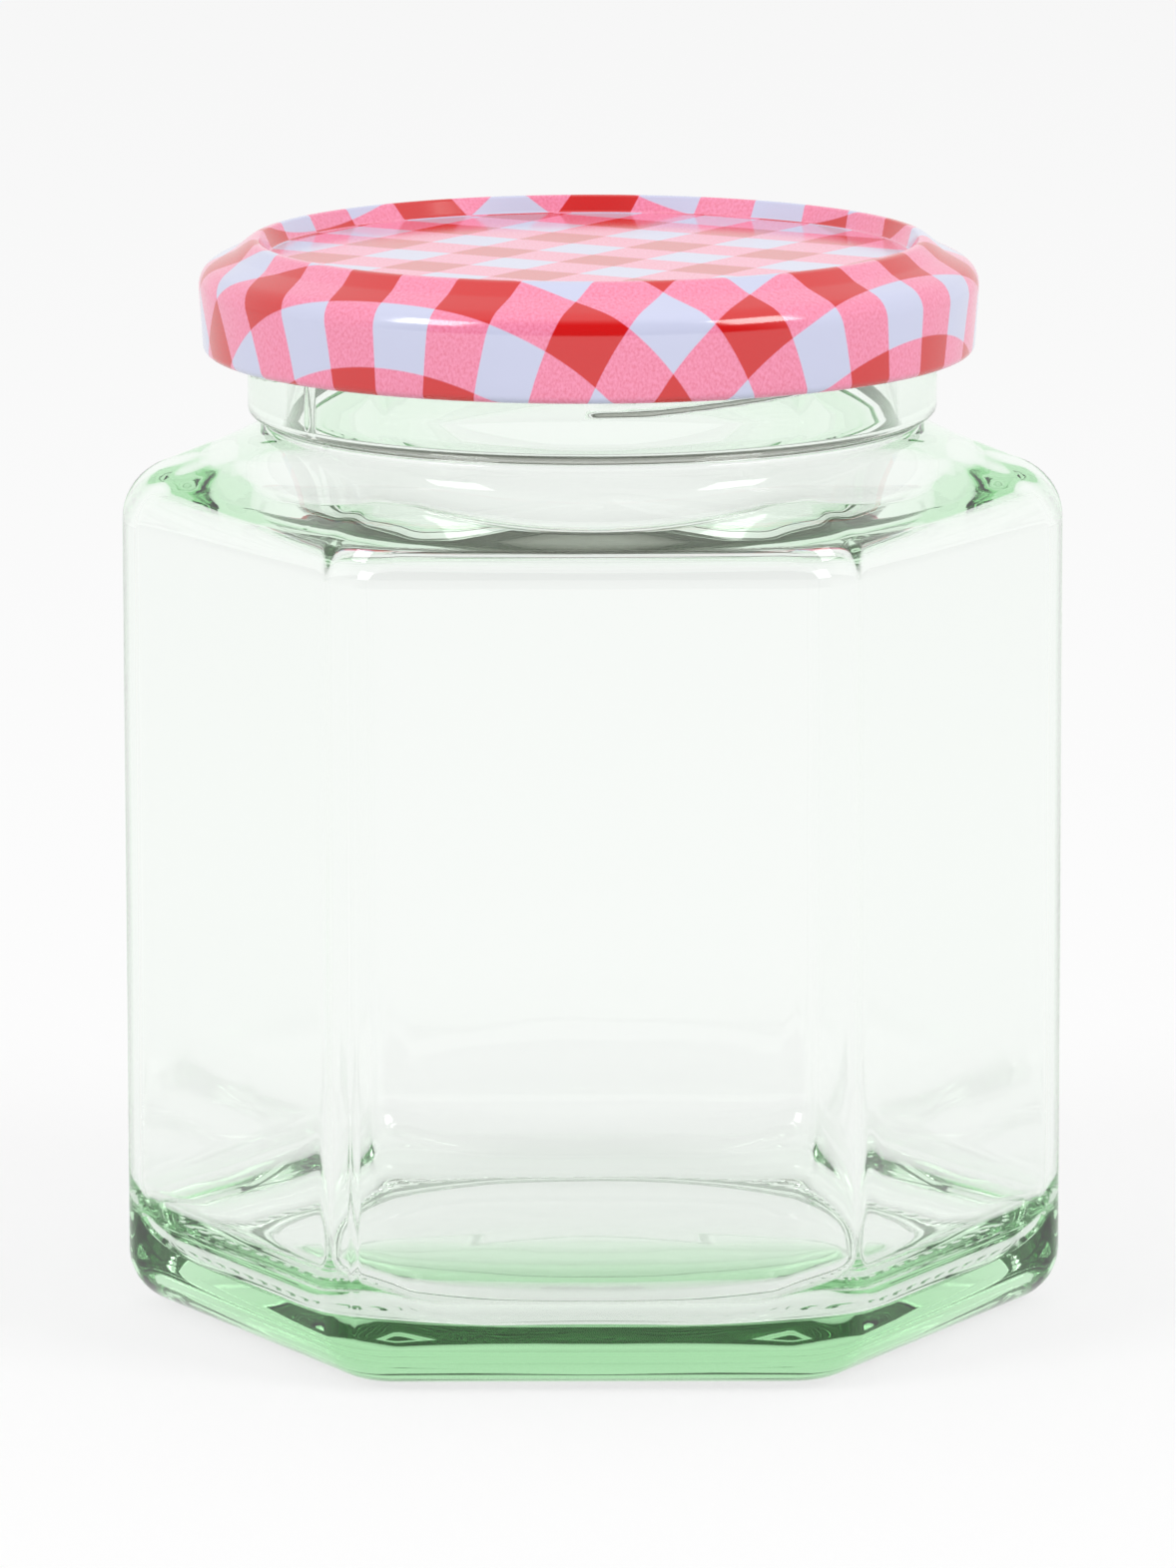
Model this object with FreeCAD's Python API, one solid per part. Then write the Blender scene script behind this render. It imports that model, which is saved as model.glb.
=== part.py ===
"""Hexagonal preserving jar of moulded glass with its twist-off tinplate lid.

Units are millimetres, +Z is up and the origin is the middle of the standing surface.
Two of the six upright corners lie on the X axis, so flat panels face -Y and +Y.
The finish, threads and lid follow from the size of the mouth, the body from its own sizes.
"""
import FreeCAD, Part
import math
import os

V = FreeCAD.Vector
UP = V(0, 0, 1)
ORIGIN = V(0, 0, 0)
SIDES = 6
HALF_SIDE = math.pi / SIDES              # turn from the middle of a panel to its corner
FRONT = math.radians(-90)                # turn about Z of the direction -Y

# ---- glass body ---------------------------------------------------------------------------
jar_height = 100.7                       # standing surface to lip, without the lid
body_across_flats = 78.6
body_corner_radius = 8.0                 # outside rounding of the upright corners
body_wall = 1.8                          # glass at the middle of a panel
body_inner_corner_radius = 6.0
heel_radius = 5.0                        # outside rounding between panel and foot
shoulder_rise = 8.65                     # from the panels' top edge to the neck's root
shoulder_bend = 5.6                      # outside rounding from panel into shoulder
inner_shoulder_bend = 3.5
ceiling_slope = math.radians(22)         # rise of the hollow's ceiling towards the bore
ceiling_ring = 5.8                       # width of the ceiling that is round, next to the bore
bend_steps = 7                           # level sections over a bend, and above it
slope_steps = 4
round_share = math.radians(15)           # half the turn of each panel where it meets the neck

# ---- base ---------------------------------------------------------------------------------
knurl_height = 0.35                      # small bumps that the jar stands on
knurl_pitch = 2.7
knurl_base_radius = 0.85
knurl_tip_radius = 0.45
knurl_inset = 1.15                       # from the foot's edge to the row of bumps
foot_width = 2.8                         # bearing ring at the middle of a panel
push_up_height = 1.9                     # round hollow under the base, at its edge
push_up_crown = 0.3                      # further rise to its centre
push_up_edge = 1.8                       # width of its rounded edge
floor_z = 5.5                            # inside floor where it meets the inside heel
floor_crown = 2.2                        # how far the floor bulges up at the centre
floor_inset = 5.8                        # from the inside of a panel to the floor's edge
floor_corner_radius = 24.0               # corner rounding of the floor's outline
inner_heel_height = 7.0
inner_heel_steps = 6

# ---- finish -------------------------------------------------------------------------------
finish_radius = 32.3                     # plain wall that carries the threads
finish_height = 16.6                     # neck's root to lip
neck_groove = 1.6                        # how far the neck lies inside the finish wall
neck_root_flare = 0.8
neck_root_fillet = 0.45
neck_length = 1.0                        # root to the underside of the finish wall
finish_edge = 0.55                       # slope of that underside
finish_edge_round = 0.95
neck_wall = 2.1
bore_drop = 3.5                          # where ceiling and bore would meet, below the neck's root
bore_bend = 8.4                          # rounding from the ceiling up into the bore
mouth_widening = 1.0                     # from the bore out to the mouth
lip_width = 0.95                         # flat land and outer rounding of the lip
lip_round = 0.5
lip_step = 0.35                          # lip's inner edge, inside its land
lip_step_drop = 1.1
lip_step_round = 0.6
lip_chamfer_height = 2.7

# ---- threads ------------------------------------------------------------------------------
thread_starts = 4
thread_turn = math.radians(95)
thread_below_lug = 1.15                  # a lug's underside to the middle of a thread's start
thread_rise = 4.3
thread_height = 1.8
thread_depth = 1.6                       # how far a thread stands out of the finish wall
thread_root = 0.6                        # how far it reaches into the wall
thread_crest_share = 0.35                # flat crest as a share of the height
thread_fade = 0.35                       # depth left at its ends, as a share
thread_fade_rate = 6.0
thread_sections = 11

# ---- lid ----------------------------------------------------------------------------------
sheet = 0.25                             # lacquered tinplate
seal_thickness = 0.98                    # sealing ring cast into the crest, resting on the lip
panel_inset = 1.0                        # from the lip's inner edge to the sunk panel
panel_sink = 1.61                        # crest to panel
crest_inset = 0.45                       # crest's inner edge, inside the lip's land
crest_width = 0.7
step_out = 0.9                           # foot of the crest, outside the finish wall
step_sink = 1.25
knee_sink = 2.93                         # crest to the corner between shoulder and skirt
skirt_flare = 0.5                        # skirt is wider at the knee than at the curl
skirt_height = 7.7                       # knee to the lid's lowest edge
curl_radius = 0.85                       # half the thickness of the curled edge
curl_web = 1.2                           # curl's rolled-in height above its middle
thread_clearance = 0.5
panel_round = 0.5
crest_inner_round = 0.35
crest_outer_round = 1.1
step_round = 2.2
knee_round = 2.4
inside_round = 0.3
lid_play = 0.3                           # lid sits this far off centre, towards -X
lug_turn = math.radians(15)
lug_reach = 1.25                         # how far a lug stands in from the curled edge
lug_height = 1.1
lug_slope = 0.25
lug_lag = math.radians(4)                # each lug ends this far before its thread's end
lug_foot = 0.05

# ---- worked out ---------------------------------------------------------------------------
foot_z = knurl_height
body_flat = body_across_flats / 2
inner_flat = body_flat - body_wall
neck_root_z = jar_height - finish_height
shoulder_start_z = neck_root_z - shoulder_rise
neck_radius = finish_radius - neck_groove
neck_root_radius = neck_radius + neck_root_flare
bore_radius = neck_radius - neck_wall
lip_land_radius = finish_radius - lip_width
lip_step_radius = lip_land_radius - lip_step
panel_radius = lip_step_radius - panel_inset
crest_z = jar_height + seal_thickness + sheet
skirt_radius = finish_radius + thread_depth + thread_clearance + 2 * curl_radius
curl_inner_radius = skirt_radius - 2 * curl_radius
skirt_foot_z = crest_z - knee_sink - skirt_height
thread_start_z = skirt_foot_z + lug_foot - thread_below_lug


def corner_distance(flat, rounding):
    """Distance from the axis to a rounded corner of a hexagon with straight panels."""
    sharp = 1 / math.cos(HALF_SIDE)
    return flat * sharp - rounding * (sharp - 1)


def at(angle, radius, z):
    """Point at a turn about +Z."""
    return V(radius * math.cos(angle), radius * math.sin(angle), z)


def thread_angle(index, turn):
    """Turn about +Z of a place along one of the threads."""
    return FRONT + index * 2 * math.pi / thread_starts + turn


def hexagon_wire(z, flat, corner, blend=0.0):
    """Level hexagon with rounded corners.

    flat and corner are its distances from the axis at a panel and at a corner. With no blend
    the panels are straight; otherwise they bow out over an angle of blend on each side of the
    middle, so that the outline can turn into a circle.
    """
    spread = (corner - flat) / (1 - math.cos(HALF_SIDE) - math.tan(blend / 2) / 2)
    rounding = corner - spread
    edges = []
    for side in range(SIDES):
        panel = FRONT + 2 * HALF_SIDE * side
        turn = panel + HALF_SIDE
        before = at(panel - HALF_SIDE, spread, 0)
        after = at(turn, spread, 0)
        first = before + at(panel - blend, rounding, z)
        last = after + at(panel + blend, rounding, z)
        corner_end = after + at(turn + HALF_SIDE - blend, rounding, z)
        if blend:
            edges.append(Part.Arc(first, at(panel, flat, z), last).toShape())
        else:
            edges.append(Part.LineSegment(first, last).toShape())
        edges.append(Part.Arc(last, at(turn, corner, z), corner_end).toShape())
    return Part.Wire(edges)


def bend_leave(start_radius, start_z, bend, end_radius, end_z):
    """Angle that an upright wall bends through before it runs straight to an end."""
    centre = start_radius - bend
    reach = math.hypot(end_radius - centre, end_z - start_z)
    return math.atan2(end_z - start_z, end_radius - centre) - math.acos(bend / reach)


def bend_radius(z, start_radius, start_z, bend, end_radius, end_z):
    """Distance from the axis to that wall at a height."""
    leave = bend_leave(start_radius, start_z, bend, end_radius, end_z)
    leave_radius = start_radius - bend + bend * math.cos(leave)
    leave_z = start_z + bend * math.sin(leave)
    if z <= leave_z:
        return start_radius - bend + math.sqrt(bend ** 2 - (z - start_z) ** 2)
    return leave_radius + (end_radius - leave_radius) * (z - leave_z) / (end_z - leave_z)


def shoulder(flat, corner, start_z, bend, end_radius, end_z):
    """Loft from the body's hexagon to the round neck."""
    rest = (start_z, bend, end_radius, end_z)
    leave = bend_leave(flat, *rest)
    heights = [start_z + bend * math.sin(leave * step / bend_steps) for step in range(bend_steps)]
    leave_z = start_z + bend * math.sin(leave)
    heights += [leave_z + (end_z - leave_z) * step / slope_steps for step in range(slope_steps + 1)]
    wires = []
    for z in heights:
        share = (z - start_z) / (end_z - start_z)
        wires.append(hexagon_wire(z, bend_radius(z, flat, *rest), bend_radius(z, corner, *rest),
                                  round_share * share ** 4))
    return Part.makeLoft(wires, True, True)


def prism(flat, corner, low, high):
    """Upright hexagonal block with rounded corners."""
    return Part.Face(hexagon_wire(low, flat, corner)).extrude(V(0, 0, high - low))


def path_edges(corners):
    """Lines and tangent arcs in the XZ plane through corners given as (radius, z, rounding)."""
    points = [V(radius, 0, z) for radius, z, _ in corners]
    edges = []
    start = points[0]
    for index in range(1, len(corners) - 1):
        here = points[index]
        rounding = corners[index][2]
        if not rounding:
            edges.append(Part.LineSegment(start, here).toShape())
            start = here
            continue
        back = (points[index - 1] - here).normalize()
        on = (points[index + 1] - here).normalize()
        half = back.getAngle(on) / 2
        reach = rounding / math.tan(half)
        depth = rounding / math.sin(half) - rounding
        last = here + on * reach
        edges.append(Part.LineSegment(start, here + back * reach).toShape())
        middle = here + (back + on).normalize() * depth
        edges.append(Part.Arc(here + back * reach, middle, last).toShape())
        start = last
    edges.append(Part.LineSegment(start, points[-1]).toShape())
    return edges


def spin(edges, degrees=360):
    """Solid swept by a closed outline in the XZ plane as it turns about Z."""
    solid = Part.Face(Part.Wire(edges)).revolve(ORIGIN, UP, degrees)
    if solid.Volume < 0:
        solid.reverse()
    return solid


def spin_corners(corners):
    """Solid of revolution of a closed loop of (radius, z, rounding) corners."""
    return spin(path_edges(corners + corners[:1]))


def dome_arc(rim_radius, rim_z, rise):
    """Arc of a ball centred on the axis, from a rim up to the crown."""
    ball = (rim_radius ** 2 + rise ** 2) / (2 * rise)
    half = math.asin(rim_radius / ball) / 2
    crown = V(0, 0, rim_z + rise)
    middle = crown + V(ball * math.sin(half), 0, ball * math.cos(half) - ball)
    return Part.Arc(V(rim_radius, 0, rim_z), middle, crown).toShape()


def dome_below(rim_radius, rim_z, rise, low):
    """Solid under a domed cap that starts at a rim and stands on a lower plane."""
    corners = [V(0, 0, rim_z + rise), V(0, 0, low), V(rim_radius, 0, low), V(rim_radius, 0, rim_z)]
    lines = [Part.LineSegment(a, b).toShape() for a, b in zip(corners, corners[1:])]
    return spin(lines + [dome_arc(rim_radius, rim_z, rise)])


def knurls():
    """Row of small bumps round the foot, evenly spaced along its outline."""
    inset = heel_radius + knurl_inset
    row = hexagon_wire(0, body_flat - inset, corner_distance(body_flat, body_corner_radius) - inset)
    count = SIDES * round(row.Length / knurl_pitch / SIDES)
    places = row.discretize(Number=count + 1)[:count]
    return [Part.makeCone(knurl_tip_radius, knurl_base_radius, knurl_height, place, UP)
            for place in places]


def thread(index):
    """One thread: a rounded ridge that climbs round the finish and fades at both ends."""
    wires = []
    for step in range(thread_sections):
        share = step / (thread_sections - 1)
        ends = min(share, 1 - share)
        fade = min(1.0, thread_fade + thread_fade_rate * ends)
        middle = thread_start_z + share * thread_rise
        half = thread_height * (1 + fade) / 4
        crest_half = half * thread_crest_share
        crest = finish_radius + thread_depth * fade
        root = finish_radius - thread_root
        profile = [(root, -half), (finish_radius, -half), (crest, -crest_half),
                   (crest, crest_half), (finish_radius, half), (root, half)]
        angle = thread_angle(index, share * thread_turn)
        points = [at(angle, radius, middle + height) for radius, height in profile]
        wires.append(Part.makePolygon(points + points[:1]))
    return Part.makeLoft(wires, True, False)


def glass_outside():
    """The jar's outer form: body, shoulder, neck and finish with its threads."""
    corner = corner_distance(body_flat, body_corner_radius)
    body = prism(body_flat, corner, foot_z, shoulder_start_z)
    foot_edges = [edge for edge in body.Edges if edge.CenterOfMass.z < foot_z + 1e-3]
    body = body.makeFillet(heel_radius, foot_edges)
    top = shoulder(body_flat, corner, shoulder_start_z, shoulder_bend, neck_root_radius, neck_root_z)
    finish = spin_corners([
        (0, neck_root_z, 0),
        (neck_root_radius, neck_root_z, 0),
        (neck_radius, neck_root_z + neck_root_flare * 0.4, neck_root_fillet),
        (neck_radius, neck_root_z + neck_length, inside_round),
        (finish_radius, neck_root_z + neck_length + finish_edge, finish_edge_round),
        (finish_radius, jar_height, lip_round),
        (0, jar_height, 0),
    ])
    return body.multiFuse([top, finish] + [thread(index) for index in range(thread_starts)])


def glass_inside():
    """The hollow: floor, inside heel, panels, shoulder and mouth, open at the lip."""
    corner = corner_distance(inner_flat, body_inner_corner_radius)
    floor_flat = inner_flat - floor_inset
    floor_corner = corner_distance(floor_flat, floor_corner_radius)
    wires = []
    for step in range(inner_heel_steps + 1):
        angle = math.radians(90) * step / inner_heel_steps
        out = math.sin(angle)
        wires.append(hexagon_wire(floor_z + inner_heel_height * (1 - math.cos(angle)),
                                  floor_flat + (inner_flat - floor_flat) * out,
                                  floor_corner + (corner - floor_corner) * out))
    heel = Part.makeLoft(wires, True, False)
    bore_z = neck_root_z - bore_drop
    ceiling_radius = bore_radius + ceiling_ring
    ceiling_z = bore_z - ceiling_ring * math.tan(ceiling_slope)
    run = inner_flat - inner_shoulder_bend - ceiling_radius
    bend_rise = inner_shoulder_bend / math.cos(ceiling_slope)
    panel_top = ceiling_z - run * math.tan(ceiling_slope) - bend_rise
    panels = prism(inner_flat, corner, floor_z + inner_heel_height, panel_top)
    top = shoulder(inner_flat, corner, panel_top, inner_shoulder_bend, ceiling_radius, ceiling_z)
    mouth = spin_corners([
        (0, ceiling_z, 0),
        (ceiling_radius, ceiling_z, 0),
        (bore_radius, bore_z, bore_bend),
        (bore_radius + mouth_widening, jar_height - lip_chamfer_height, lip_chamfer_height / 2),
        (lip_step_radius, jar_height - lip_step_drop, lip_step_round),
        (lip_land_radius, jar_height, 0),
        (lip_land_radius, jar_height + 1, 0),
        (0, jar_height + 1, 0),
    ])
    hollow = heel.multiFuse([panels, top, mouth])
    return hollow.cut(dome_below(floor_flat, floor_z, floor_crown, 0))


def push_up():
    """The shallow domed hollow under the base."""
    outer = body_flat - heel_radius - foot_width
    inner = outer - push_up_edge
    top_z = foot_z + push_up_height
    bend = V(inner + push_up_edge * math.sqrt(0.5), 0, foot_z + push_up_height * math.sqrt(0.5))
    corners = [V(0, 0, top_z + push_up_crown), ORIGIN, V(outer, 0, 0), V(outer, 0, foot_z)]
    edges = [Part.LineSegment(a, b).toShape() for a, b in zip(corners, corners[1:])]
    edges.append(Part.Arc(corners[-1], bend, V(inner, 0, top_z)).toShape())
    edges.append(dome_arc(inner, top_z, push_up_crown))
    return spin(edges)


def glass_jar():
    """The glass in one piece."""
    glass = glass_outside().cut(glass_inside()).cut(push_up())
    return glass.multiFuse(knurls()).removeSplitter()


def lug(index):
    """One lug: the curled edge pressed in, just under its thread."""
    low = skirt_foot_z + lug_foot
    high = low + lug_height
    outer = curl_inner_radius + curl_radius
    tip = curl_inner_radius - lug_reach
    outline = Part.makePolygon([V(outer, 0, low), V(tip, 0, low + lug_slope), V(tip, 0, high),
                                V(outer, 0, high), V(outer, 0, low)])
    solid = spin(outline.Edges, math.degrees(lug_turn))
    start = thread_angle(index, thread_turn - lug_lag - lug_turn)
    solid.rotate(ORIGIN, UP, math.degrees(start))
    return solid


def lid():
    """Pressed tinplate lid with its sunk panel, curled edge, lugs and cast-in sealing ring."""
    panel_z = crest_z - panel_sink
    crest_inner = lip_land_radius - crest_inset
    step_radius = finish_radius + step_out
    step_z = crest_z - step_sink
    knee_radius = skirt_radius + skirt_flare
    knee_z = crest_z - knee_sink
    web_z = skirt_foot_z + curl_radius + curl_web
    shell = spin_corners([
        (0, panel_z, 0),
        (panel_radius, panel_z, panel_round),
        (crest_inner, crest_z, crest_inner_round),
        (crest_inner + crest_width, crest_z, crest_outer_round),
        (step_radius, step_z, step_round),
        (knee_radius, knee_z, knee_round),
        (skirt_radius, skirt_foot_z, curl_radius),
        (curl_inner_radius, skirt_foot_z, curl_radius),
        (curl_inner_radius, web_z - curl_radius, inside_round),
        (skirt_radius - sheet, web_z, inside_round),
        (knee_radius - sheet, knee_z - sheet, knee_round - sheet),
        (step_radius - sheet, step_z - sheet, inside_round),
        (step_radius - 2 * sheet, jar_height, 0),
        (crest_inner - sheet, jar_height, 0),
        (panel_radius + sheet, panel_z - sheet, inside_round),
        (0, panel_z - sheet, 0),
    ])
    whole = shell.multiFuse([lug(index) for index in range(thread_starts)]).removeSplitter()
    whole.translate(V(-lid_play, 0, 0))
    return whole


def main():
    """Build every piece and write one STEP file for each."""
    os.makedirs("parts", exist_ok=True)
    for name, shape in (("glass_jar", glass_jar()), ("lid", lid())):
        solid, = shape.Solids
        solid.exportStep(f"parts/{name}.step")
        print(name, "valid", solid.isValid(), "cm3 %.2f" % (solid.Volume / 1000))


main()
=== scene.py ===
"""Looks of a hexagonal preserving jar: moulded glass and a twist-off tinplate lid.

Sizes in the classes are millimetres in the part's own frame, with +Z up and the jar standing
on z = 0. Meshes are written in metres.
"""

import logging
import math
from dataclasses import dataclass, field
from enum import Enum

import bpy
import numpy as np
from mathutils import Matrix

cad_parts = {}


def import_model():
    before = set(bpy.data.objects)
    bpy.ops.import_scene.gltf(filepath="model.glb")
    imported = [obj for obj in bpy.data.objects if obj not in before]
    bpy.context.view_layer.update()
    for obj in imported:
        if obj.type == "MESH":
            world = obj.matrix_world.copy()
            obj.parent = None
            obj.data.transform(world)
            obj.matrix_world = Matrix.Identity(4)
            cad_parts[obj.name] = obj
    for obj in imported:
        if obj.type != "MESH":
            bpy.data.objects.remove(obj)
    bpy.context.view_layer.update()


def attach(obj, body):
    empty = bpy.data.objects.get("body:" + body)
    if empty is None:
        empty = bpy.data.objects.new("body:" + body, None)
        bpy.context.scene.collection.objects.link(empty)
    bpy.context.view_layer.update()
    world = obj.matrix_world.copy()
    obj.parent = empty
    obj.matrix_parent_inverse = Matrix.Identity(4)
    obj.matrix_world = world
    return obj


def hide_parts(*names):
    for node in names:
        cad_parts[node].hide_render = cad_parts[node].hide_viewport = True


LOG = logging.getLogger("jar")
MM = 0.001
SIDES = 6
HALF_SIDE = math.pi / SIDES
FRONT = -math.pi / 2
Row = np.ndarray
Point = tuple[float, float]


class Columns(Enum):
    """How the upright lines of the glass mesh are shared out round the jar."""

    ROUND = "even turns, for the neck, the finish and the middle of the base"
    FOOT = "even steps along a hexagon, for the row of bumps round the foot"
    PANEL = "closer together round the corners, for the body"


# ---- small shared tools ------------------------------------------------------------------


def linear(hex_colour: str) -> tuple[float, float, float, float]:
    """Turn an sRGB hex colour into the linear one that a shader takes.

    Args:
        hex_colour: six hex digits with a leading hash sign.

    Returns:
        Linear red, green and blue, and an alpha of one.
    """
    parts = [int(hex_colour[i:i + 2], 16) / 255 for i in (1, 3, 5)]
    curve = [c / 12.92 if c <= 0.04045 else ((c + 0.055) / 1.055) ** 2.4 for c in parts]
    return (*curve, 1.0)


def add_node(tree: bpy.types.NodeTree, kind: str, values: dict | None = None,
             links: dict | None = None) -> bpy.types.Node:
    """Add a node, set its values and link its inputs.

    Args:
        tree: node tree that gets the node.
        kind: Blender's name for the node.
        values: an attribute's name, or an input's name or number, and what it is set to.
        links: an input's name or number, and the output socket that feeds it.

    Returns:
        The new node.
    """
    node = tree.nodes.new(kind)
    for key, value in (values or {}).items():
        if isinstance(key, str) and hasattr(node, key):
            setattr(node, key, value)
        else:
            node.inputs[key].default_value = value
    for key, socket in (links or {}).items():
        tree.links.new(socket, node.inputs[key])
    return node


def new_material(name: str) -> tuple[bpy.types.Material, bpy.types.NodeTree]:
    """Make an empty node material.

    Args:
        name: name of the material.

    Returns:
        The material and its node tree.
    """
    material = bpy.data.materials.new(name)
    material.use_nodes = True
    material.node_tree.nodes.clear()
    return material, material.node_tree


def smooth_step(value: np.ndarray) -> np.ndarray:
    """Ease from 0 to 1 as value goes from 0 to 1."""
    share = np.clip(value, 0.0, 1.0)
    return share * share * (3 - 2 * share)


def rounded_path(corners: list[tuple[float, float, float]], steps: int = 5) -> list[Point]:
    """Points along straight runs with rounded corners.

    Args:
        corners: (radius, z, rounding) of each corner.
        steps: runs that each rounding is drawn with.

    Returns:
        The points as (radius, z).
    """
    points = [corners[0][:2]]
    for before, here, after in zip(corners, corners[1:], corners[2:]):
        corner, rounding = np.array(here[:2]), here[2]
        if not rounding:
            points.append(here[:2])
            continue
        back = np.array(before[:2]) - corner
        on = np.array(after[:2]) - corner
        back, on = back / np.linalg.norm(back), on / np.linalg.norm(on)
        half = math.acos(float(np.clip(back @ on, -1, 1))) / 2
        middle = (back + on) / np.linalg.norm(back + on)
        centre = corner + middle * rounding / math.sin(half)
        first = corner + back * rounding / math.tan(half) - centre
        last = corner + on * rounding / math.tan(half) - centre
        turn = math.pi - 2 * half
        for step in range(steps + 1):
            share = step / steps
            arm = (math.sin((1 - share) * turn) * first + math.sin(share * turn) * last)
            points.append(tuple(centre + arm / math.sin(turn)))
    points.append(corners[-1][:2])
    return points


def refined(points: list[Point], longest: float) -> list[Point]:
    """Divide the runs of a path that are longer than a given length.

    Args:
        points: (radius, z) of each point.
        longest: longest run to keep.

    Returns:
        The points with the new ones between them.
    """
    path = [points[0]]
    for (r0, z0), (r1, z1) in zip(points, points[1:]):
        parts = max(1, math.ceil(math.hypot(r1 - r0, z1 - z0) / longest))
        path += [(r0 + (r1 - r0) * k / parts, z0 + (z1 - z0) * k / parts)
                 for k in range(1, parts + 1)]
    return path


def level_row(angle: np.ndarray, radius: np.ndarray | float, z: np.ndarray | float) -> Row:
    """One ring of points round the axis.

    Args:
        angle: turn about +Z of each point.
        radius: distance from the axis, one value or one for each point.
        z: height, one value or one for each point.

    Returns:
        An array of points.
    """
    ring = np.empty((len(angle), 3))
    ring[:, 0] = radius * np.cos(angle)
    ring[:, 1] = radius * np.sin(angle)
    ring[:, 2] = z
    return ring


def skin(name: str, rows: list[Row], caps: bool = True) -> bpy.types.Object:
    """Join rings of points into one closed, smooth-shaded mesh.

    Args:
        name: name of the object.
        rows: rings of equally many points, from the underside's middle out and round to the
            top's middle, so that the faces look outwards.
        caps: True to close both ends with a point on the axis, False to join the last ring
            to the first.

    Returns:
        The new object.
    """
    count = len(rows[0])
    points = np.concatenate(rows)
    ring = np.arange(count)
    beside = np.roll(ring, -1)
    pairs = list(zip(range(len(rows) - 1), range(1, len(rows))))
    if not caps:
        pairs.append((len(rows) - 1, 0))
    faces = []
    for low, high in pairs:
        quads = np.stack([low * count + ring, low * count + beside,
                          high * count + beside, high * count + ring], axis=1)
        faces += quads.tolist()
    if caps:
        ends = np.array([rows[0].mean(axis=0), rows[-1].mean(axis=0)])
        ends[:, 2] = rows[0][0, 2], rows[-1][0, 2]
        points = np.concatenate([points, ends])
        bottom, top = len(points) - 2, len(points) - 1
        last = (len(rows) - 1) * count
        faces += [[bottom, b, a] for a, b in zip(ring.tolist(), beside.tolist())]
        faces += [[top, last + a, last + b] for a, b in zip(ring.tolist(), beside.tolist())]
    mesh = bpy.data.meshes.new(name)
    mesh.from_pydata((points * MM).tolist(), [], faces)
    mesh.shade_smooth()
    piece = bpy.data.objects.new(name, mesh)
    bpy.context.collection.objects.link(piece)
    return piece


# ---- finishes ----------------------------------------------------------------------------


@dataclass(frozen=True)
class FlintGlass:
    """Soda-lime flint glass, blown in a mould.

    The hot glass cools against the iron mould, which leaves it clear and glossy with long
    shallow waves. Thin walls look colourless, and only where the eye looks along the glass, in
    the base and the edges, does the green of its iron show.
    """

    ior: float = 1.52
    roughness: float = 0.0
    tint_hex: str = "#AAE8AE"
    tint_per_metre: float = 20.0
    wave_mm: float = 16.0
    wave_height_mm: float = 0.015

    def material(self) -> bpy.types.Material:
        """Build the node material."""
        material, tree = new_material("soda_lime_glass_moulded")
        place = add_node(tree, "ShaderNodeTexCoord")
        waves = add_node(tree, "ShaderNodeTexNoise",
                         {"Scale": 1 / (self.wave_mm * MM), "Detail": 2.0, "Roughness": 0.4},
                         {"Vector": place.outputs["Object"]})
        bump = add_node(tree, "ShaderNodeBump",
                        {"Strength": 1.0, "Distance": self.wave_height_mm * MM},
                        {"Height": waves.outputs["Fac"]})
        glass = add_node(tree, "ShaderNodeBsdfPrincipled",
                         {"Base Color": (1.0, 1.0, 1.0, 1.0), "Metallic": 0.0,
                          "Roughness": self.roughness, "IOR": self.ior,
                          "Transmission Weight": 1.0},
                         {"Normal": bump.outputs["Normal"]})
        tint = add_node(tree, "ShaderNodeVolumeAbsorption",
                        {"Color": linear(self.tint_hex), "Density": self.tint_per_metre})
        add_node(tree, "ShaderNodeOutputMaterial", {},
                 {"Surface": glass.outputs["BSDF"], "Volume": tint.outputs["Volume"]})
        return material


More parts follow.
